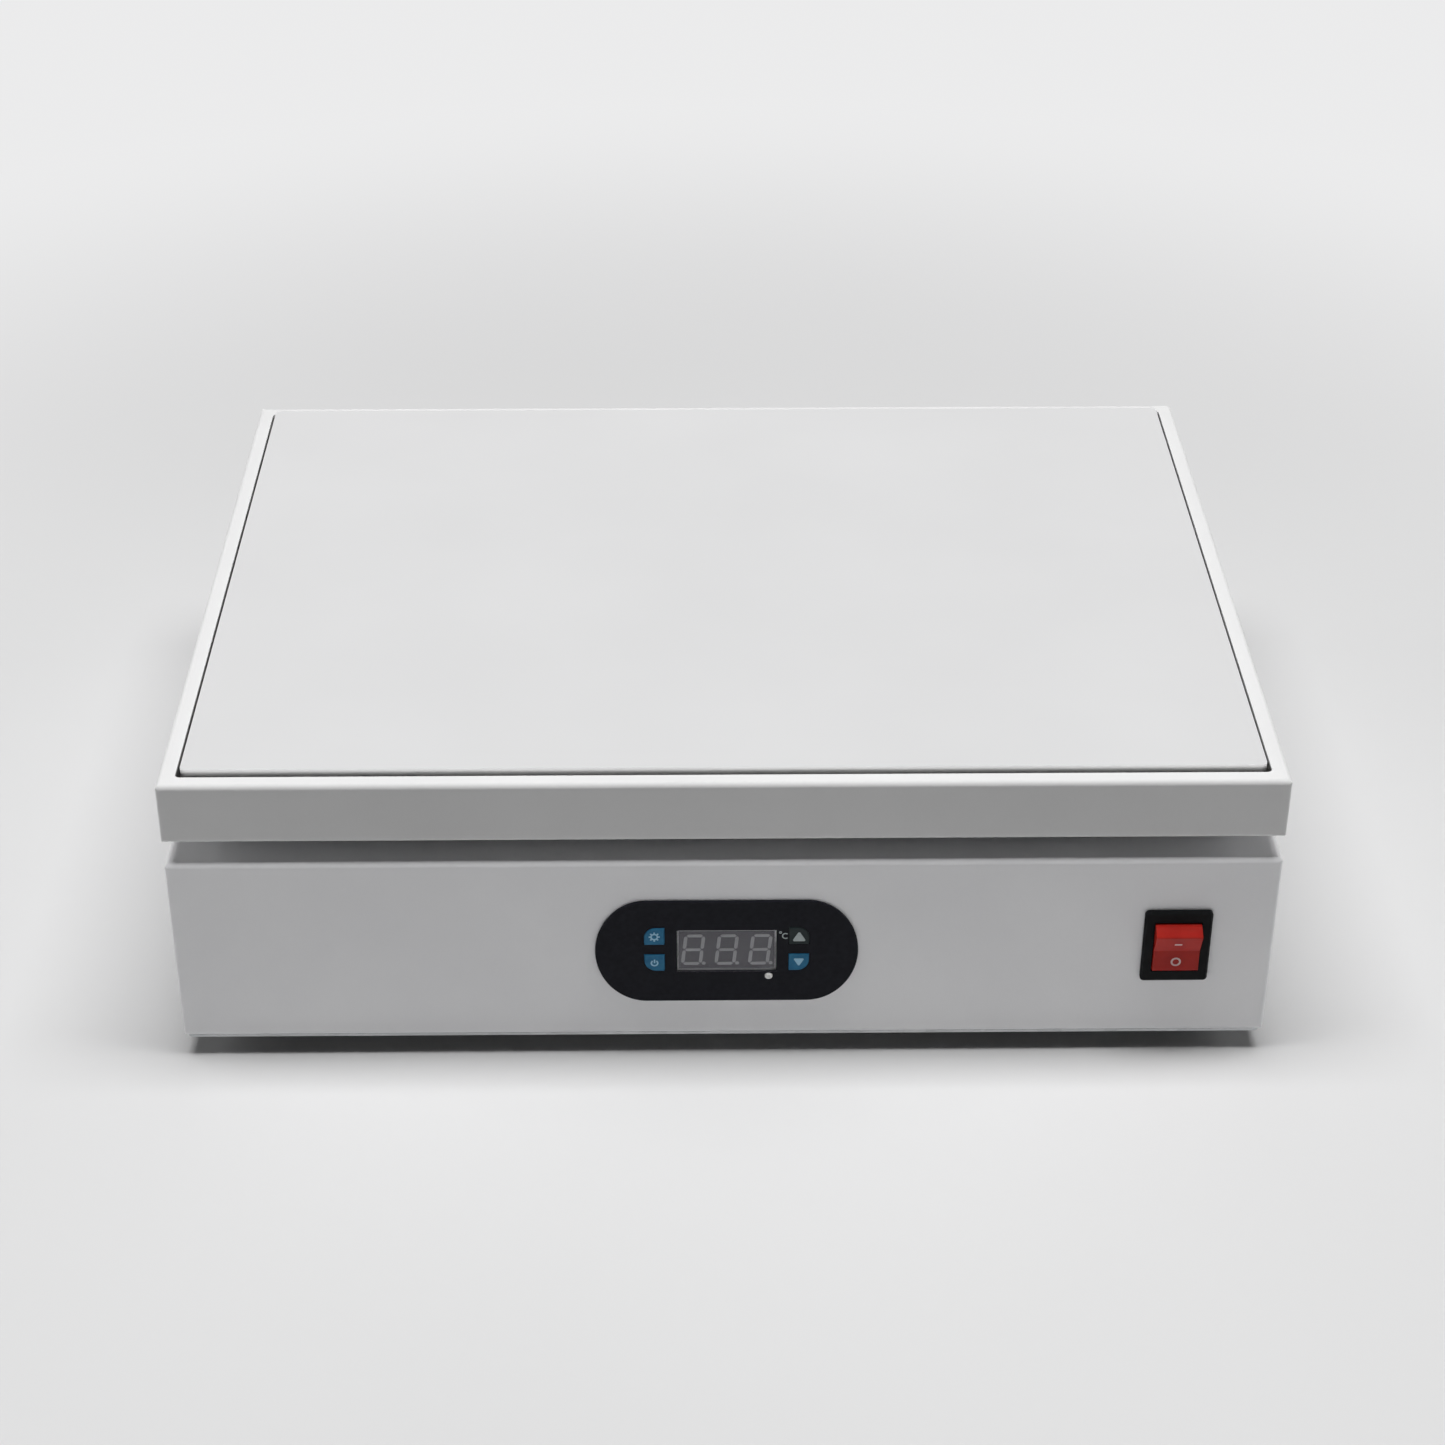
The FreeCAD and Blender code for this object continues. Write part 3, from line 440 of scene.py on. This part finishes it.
# signs: flat cells in the front view, dropped along +Y onto the face that carries them
def ringCells(x, z, inner, outer, start=0.0, stop=360.0, steps=28):
    turns = [math.radians(start + (stop - start) * i / steps) for i in range(steps + 1)]
    near = [(x + inner * math.cos(t), z + inner * math.sin(t)) for t in turns]
    far = [(x + outer * math.cos(t), z + outer * math.sin(t)) for t in turns]
    return [[near[i], far[i], far[i + 1], near[i + 1]] for i in range(steps)]


def barCell(x, z, width, height, turn=0.0):
    c, s = math.cos(math.radians(turn)), math.sin(math.radians(turn))
    corners = [(-width, -height), (width, -height), (width, height), (-width, height)]
    return [(x + (a * c - b * s) / 2, z + (a * s + b * c) / 2) for a, b in corners]


def arrowCell(x, z, width, height, blunt=0.12):
    # triangle with blunted corners, pointing up, or down where the height is negative
    w, h = width / 2, height / 2
    tips = [(-w, -h), (w, -h), (0, h)]
    outline = []
    for i, (a, b) in enumerate(tips):
        for c, d in (tips[i - 1], tips[(i + 1) % 3]):
            outline.append((x + a + (c - a) * blunt, z + b + (d - b) * blunt))
    return outline


def gearCells(x, z, look):
    reach = look["ring"] + look["tooth"] / 2
    marks = []
    for i in range(look["teeth"]):
        turn = 360 * i / look["teeth"]
        toothX = x + reach * math.cos(math.radians(turn))
        toothZ = z + reach * math.sin(math.radians(turn))
        marks.append(barCell(toothX, toothZ, look["tooth"], look["stroke"], turn))
    return ringCells(x, z, look["ring"] - look["stroke"], look["ring"]) + marks


def standbyCells(x, z, look):
    rise, length = (share * look["ring"] for share in look["standbyBar"])
    ring = ringCells(x, z, look["ring"] - look["stroke"], look["ring"], *look["standbyArc"])
    return ring + [barCell(x, z + rise, look["stroke"], length)]


def layOn(name, carrier, cells, lift, finish):
    mesh = nodes[carrier].data
    skin = BVHTree.FromPolygons([v.co for v in mesh.vertices], [p.vertices for p in mesh.polygons])
    sign = bmesh.new()
    made = {}
    for cell in cells:
        for x, z in cell:
            if (x, z) not in made:
                spot, outward, face, distance = skin.ray_cast(Vector((x, -1, z)), Vector((0, 1, 0)))
                made[x, z] = sign.verts.new(spot - outward * lift), outward
        sign.faces.new([made[point][0] for point in cell])
    facing = sum((outward for vert, outward in made.values()), Vector()).normalized()
    bmesh.ops.remove_doubles(sign, verts=sign.verts, dist=lift / 20)
    raised = bmesh.ops.extrude_face_region(sign, geom=sign.faces[:], use_keep_orig=True)["geom"]
    top = [part for part in raised if isinstance(part, bmesh.types.BMVert)]
    bmesh.ops.translate(sign, verts=top, vec=facing * 2 * lift)
    bmesh.ops.recalc_face_normals(sign, faces=sign.faces)
    piece = addPiece(name, sign, finish)
    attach(piece, nodes[carrier]["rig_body"])


inkLook = {
    "greyInk": {
        "rough": (0.5, 0.6), "pore": (0.3 * mm, 0.002 * mm),
        "colours": ((0.38, 0.44, 0.44), (0.44, 0.50, 0.50)),
    },
    "blueInk": {
        "rough": (0.5, 0.6), "pore": (0.3 * mm, 0.002 * mm),
        "colours": ((0.28, 0.52, 0.68), (0.34, 0.60, 0.76)),
    },
    "rockerInk": {
        "rough": (0.4, 0.5), "pore": (0.3 * mm, 0.002 * mm),
        "colours": ((0.62, 0.44, 0.42), (0.70, 0.52, 0.50)),
    },
}
inks = {name: moulded(name, look) for name, look in inkLook.items()}
keySignLook = {
    "lift": 0.04 * mm,
    "upArrow": (5.4 * mm, 4.6 * mm),
    "downArrow": (4.32 * mm, -3.68 * mm),
    "ring": 1.5 * mm,
    "stroke": 0.6 * mm,
    "tooth": 0.6 * mm,
    "teeth": 8,
    "standbyArc": (125.0, 415.0),
    "standbyBar": (0.55, 1.1),  # middle and length, in ring radii
}


def printKeySigns():
    look = keySignLook
    keys = ("up_key", "down_key", "upper_left_key", "lower_left_key")
    up, down, upper, lower = (middleOf(key) for key in keys)
    lift, blue = look["lift"], inks["blueInk"]
    layOn("upSign", "up_key", [arrowCell(up.x, up.z, *look["upArrow"])], lift, inks["greyInk"])
    layOn("downSign", "down_key", [arrowCell(down.x, down.z, *look["downArrow"])], lift, blue)
    layOn("settingSign", "upper_left_key", gearCells(upper.x, upper.z, look), lift, blue)
    layOn("standbySign", "lower_left_key", standbyCells(lower.x, lower.z, look), lift, blue)


unitSignLook = {
    "right": 3.3 * mm,
    "drop": 2.6 * mm,
    "radius": 1.35 * mm,
    "stroke": 0.45 * mm,
    "arc": (50.0, 310.0),
    "dot": 0.55 * mm,
    "dotStroke": 0.36 * mm,
}


def printUnitSign():
    # degrees Celsius, beside the upper right corner of the display
    look = unitSignLook
    low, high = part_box("display_window")
    x, z = high.x + look["right"], high.z - look["drop"]
    letter = ringCells(x, z, look["radius"] - look["stroke"], look["radius"], *look["arc"])
    dotX, dotZ = x - look["radius"] - look["dot"], z + look["radius"] + look["dot"] / 2
    dot = ringCells(dotX, dotZ, look["dot"] - look["dotStroke"], look["dot"])
    layOn("unitSign", "control_faceplate", letter + dot, keySignLook["lift"], inks["greyInk"])


rockerSignLook = {
    "lift": 0.05 * mm,
    "onRise": 3.4 * mm,
    "offDrop": 6.0 * mm,
    "bar": (2.8 * mm, 0.8 * mm),
    "ring": (1.25 * mm, 1.95 * mm),
}


def printRockerSigns():
    look = rockerSignLook
    hub = middleOf("switch_housing")
    bar = [barCell(hub.x, hub.z + look["onRise"], *look["bar"])]
    ring = ringCells(hub.x, hub.z - look["offDrop"], *look["ring"])
    for name, cells in (("onSign", bar), ("offSign", ring)):
        layOn(name, "rocker", cells, look["lift"], inks["rockerInk"])


printRockerSigns()
printKeySigns()
printUnitSign()
print("signs printed")


# small screws: turned heads with a cross recess
screwLook = {
    "base": {"radius": 3.0 * mm, "height": 1.9 * mm, "inset": 7.0 * mm,
             "along": (0.15, 0.5, 0.85), "across": 0.4},
    "foot": {"radius": 3.6 * mm, "height": 2.2 * mm, "recess": 4.5 * mm},
    "inlet": {"radius": 2.7 * mm, "height": 0.6 * mm, "pitch": 40.0 * mm},
}
headLook = {
    "steps": 24,
    "profile": ((1.0, -0.05), (1.0, 0.35), (0.95, 0.6), (0.82, 0.84), (0.62, 1.0)),
    "arm": 0.5,  # half length and half width of the cross, in radii
    "half": 0.11,
    "taper": 0.6,
    "bed": 0.35,  # floor of the recess, in heights
    "sharp": 35,
}


def turnScrew(heads, seat, axis, radius, height):
    look = headLook
    steps = look["steps"]
    place = Matrix.Translation(seat) @ axis.to_track_quat("Z", "Y").to_matrix().to_4x4()
    turns = [2 * math.pi * i / steps for i in range(steps)]
    rings = []
    for wide, high in look["profile"]:
        r = wide * radius
        ring = [Vector((r * math.cos(t), r * math.sin(t), high * height)) for t in turns]
        rings.append([heads.verts.new(place @ point) for point in ring])
    for lower, upper in zip(rings, rings[1:]):
        for i in range(steps):
            heads.faces.new((lower[i - 1], lower[i], upper[i], upper[i - 1]))
    heads.faces.new(reversed(rings[0]))
    arm, half, taper = look["arm"] * radius, look["half"] * radius, look["taper"]
    quarter = [(half, half), (half, arm), (-half, arm)]
    cross = [Matrix.Rotation(math.pi / 2 * i, 2) @ Vector(point) for i in range(4) for point in quarter]
    floor = height * look["bed"]
    mouth = [heads.verts.new(place @ Vector((p.x, p.y, height))) for p in cross]
    bed = [heads.verts.new(place @ Vector((p.x * taper, p.y * taper, floor))) for p in cross]
    for i in range(len(cross)):
        heads.faces.new((mouth[i - 1], mouth[i], bed[i], bed[i - 1]))
    heads.faces.new(bed)
    rim = [heads.edges.get((rings[-1][i - 1], rings[-1][i])) for i in range(steps)]
    lip = [heads.edges.get((mouth[i - 1], mouth[i])) for i in range(len(cross))]
    bmesh.ops.triangle_fill(heads, use_beauty=True, edges=rim + lip)


def setScrews(name, seats, axis):
    look = screwLook[name]
    heads = bmesh.new()
    for seat in seats:
        turnScrew(heads, seat, axis, look["radius"], look["height"])
    bmesh.ops.recalc_face_normals(heads, faces=heads.faces)
    piece = addPiece(name + "Screws", heads, finishes["zinc_steel"])
    piece.data.shade_smooth()
    piece.data.set_sharp_from_angle(angle=math.radians(headLook["sharp"]))
    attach(piece, "table")


def cornerMiddle(node, right, rear):
    # middle of the solid of a four-cornered node that stands in one corner
    spots = [v.co for v in nodes[node].data.vertices if (v.co.x > 0) == right and (v.co.y > 0) == rear]
    return [(min(p[i] for p in spots) + max(p[i] for p in spots)) / 2 for i in range(2)]


def fastenParts():
    down, rearward = Vector((0, 0, -1)), Vector((0, 1, 0))
    look = screwLook["base"]
    low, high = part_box("base_plate")
    left, right = low.x + look["inset"], high.x - look["inset"]
    front, rear = low.y + look["inset"], high.y - look["inset"]
    places = [(low.x + (high.x - low.x) * share, y) for share in look["along"] for y in (front, rear)]
    places += [(x, y * look["across"]) for x in (left, right) for y in (low.y, high.y)]
    setScrews("base", [Vector((x, y, low.z)) for x, y in places], down)
    corners = [cornerMiddle("rubber_feet", east, north) for east in (False, True) for north in (False, True)]
    setScrews("foot", [Vector((x, y, screwLook["foot"]["recess"])) for x, y in corners], down)
    middle, back = middleOf("inlet_housing"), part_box("inlet_housing")[1].y
    reach = screwLook["inlet"]["pitch"] / 2
    setScrews("inlet", [Vector((middle.x + side * reach, back, middle.z)) for side in (-1, 1)], rearward)


fastenParts()
print("screws set")


# surroundings: a wide pale bench top, a soft lamp overhead, a small one at each side and a pale surround
benchLook = {
    "reach": 30.0,
    "dark": (0.62, 0.62, 0.622),
    "light": (0.65, 0.65, 0.652),
    "rough": (0.75, 0.85),
    "cloud": 0.6,
    "fade": (0.30, 0.90),  # where the lit bench passes into the pale ground
}
lampLook = {
    "overhead": {"place": (0.0, -0.12, 1.8), "size": (1.6, 0.6), "power": 40},
    "left": {"place": (-1.6, 0.0, 0.6), "size": (0.6, 0.6), "power": 4},
    "right": {"place": (1.6, 0.0, 0.6), "size": (0.6, 0.6), "power": 4},
}
lampTarget = Vector((0, 0, 0.1))
skyLook = {"colour": (0.97, 0.97, 0.975, 1), "seen": 0.86, "ambient": 0.03}


def seenDirectly(tree):
    # 1 for rays from the camera, and for those that mirror or glass send on
    rays = tree.nodes.new("ShaderNodeLightPath").outputs
    mirrored = addMath(tree, "MAXIMUM", rays["Is Camera Ray"], rays["Is Glossy Ray"])
    return addMath(tree, "MAXIMUM", mirrored, rays["Is Transmission Ray"])


def fadeToGround(tree, shader):
    # far from the table the bench shows the colour of the surround, so no edge of it is seen
    coordinates = tree.nodes.new("ShaderNodeTexCoord")
    reach = tree.nodes.new("ShaderNodeVectorMath")
    reach.operation = "LENGTH"
    tree.links.new(coordinates.outputs["Object"], reach.inputs[0])
    near, far = benchLook["fade"]
    span = addNode(tree, "MapRange", **{"From Min": near, "From Max": far})
    span.interpolation_type = "SMOOTHSTEP"
    tree.links.new(reach.outputs["Value"], span.inputs["Value"])
    ground = addNode(tree, "Emission", Color=skyLook["colour"], Strength=skyLook["seen"])
    share = addMath(tree, "MULTIPLY", span.outputs["Result"], seenDirectly(tree))
    mix = tree.nodes.new("ShaderNodeMixShader")
    tree.links.new(share, mix.inputs["Fac"])
    tree.links.new(shader.outputs["BSDF"], mix.inputs[1])
    tree.links.new(ground.outputs["Emission"], mix.inputs[2])
    tree.links.new(mix.outputs["Shader"], tree.nodes["Material Output"].inputs["Surface"])


def layBench():
    look = benchLook
    sheet = bpy.data.meshes.new("benchTop")
    r = look["reach"]
    sheet.from_pydata([(-r, -r, 0), (r, -r, 0), (r, r, 0), (-r, r, 0)], [], [(0, 1, 2, 3)])
    bench = bpy.data.objects.new("benchTop", sheet)
    bpy.context.scene.collection.objects.link(bench)
    finish, tree, shader = newFinish("benchTop")
    cloud = grain(tree, look["cloud"])
    colourBy(tree, shader, cloud, look["dark"], look["light"])
    roughBy(tree, shader, cloud, *look["rough"])
    fadeToGround(tree, shader)
    sheet.materials.append(finish)


def hangLamps():
    for name, look in lampLook.items():
        lamp = bpy.data.lights.new(name + "Lamp", "AREA")
        lamp.shape = "RECTANGLE"
        lamp.size, lamp.size_y = look["size"]
        lamp.energy = look["power"]
        holder = bpy.data.objects.new(name + "Lamp", lamp)
        holder.location = look["place"]
        holder.visible_glossy = False  # the plate mirrors the pale surround, not the lamps
        holder.rotation_euler = (lampTarget - holder.location).to_track_quat("-Z", "Y").to_euler()
        bpy.context.scene.collection.objects.link(holder)


def paintSky():
    world = bpy.data.worlds.new("paleSurround")
    world.use_nodes = True
    bpy.context.scene.world = world
    tree = world.node_tree
    ambient = tree.nodes["Background"]
    ambient.inputs["Color"].default_value = skyLook["colour"]
    ambient.inputs["Strength"].default_value = skyLook["ambient"]
    seen = addNode(tree, "Background", Color=skyLook["colour"], Strength=skyLook["seen"])
    mix = tree.nodes.new("ShaderNodeMixShader")
    tree.links.new(seenDirectly(tree), mix.inputs["Fac"])
    tree.links.new(ambient.outputs["Background"], mix.inputs[1])
    tree.links.new(seen.outputs["Background"], mix.inputs[2])
    tree.links.new(mix.outputs["Shader"], tree.nodes["World Output"].inputs["Surface"])


layBench()
hangLamps()
paintSky()
bpy.context.scene.view_settings.view_transform = "Standard"
print("bench and light set")
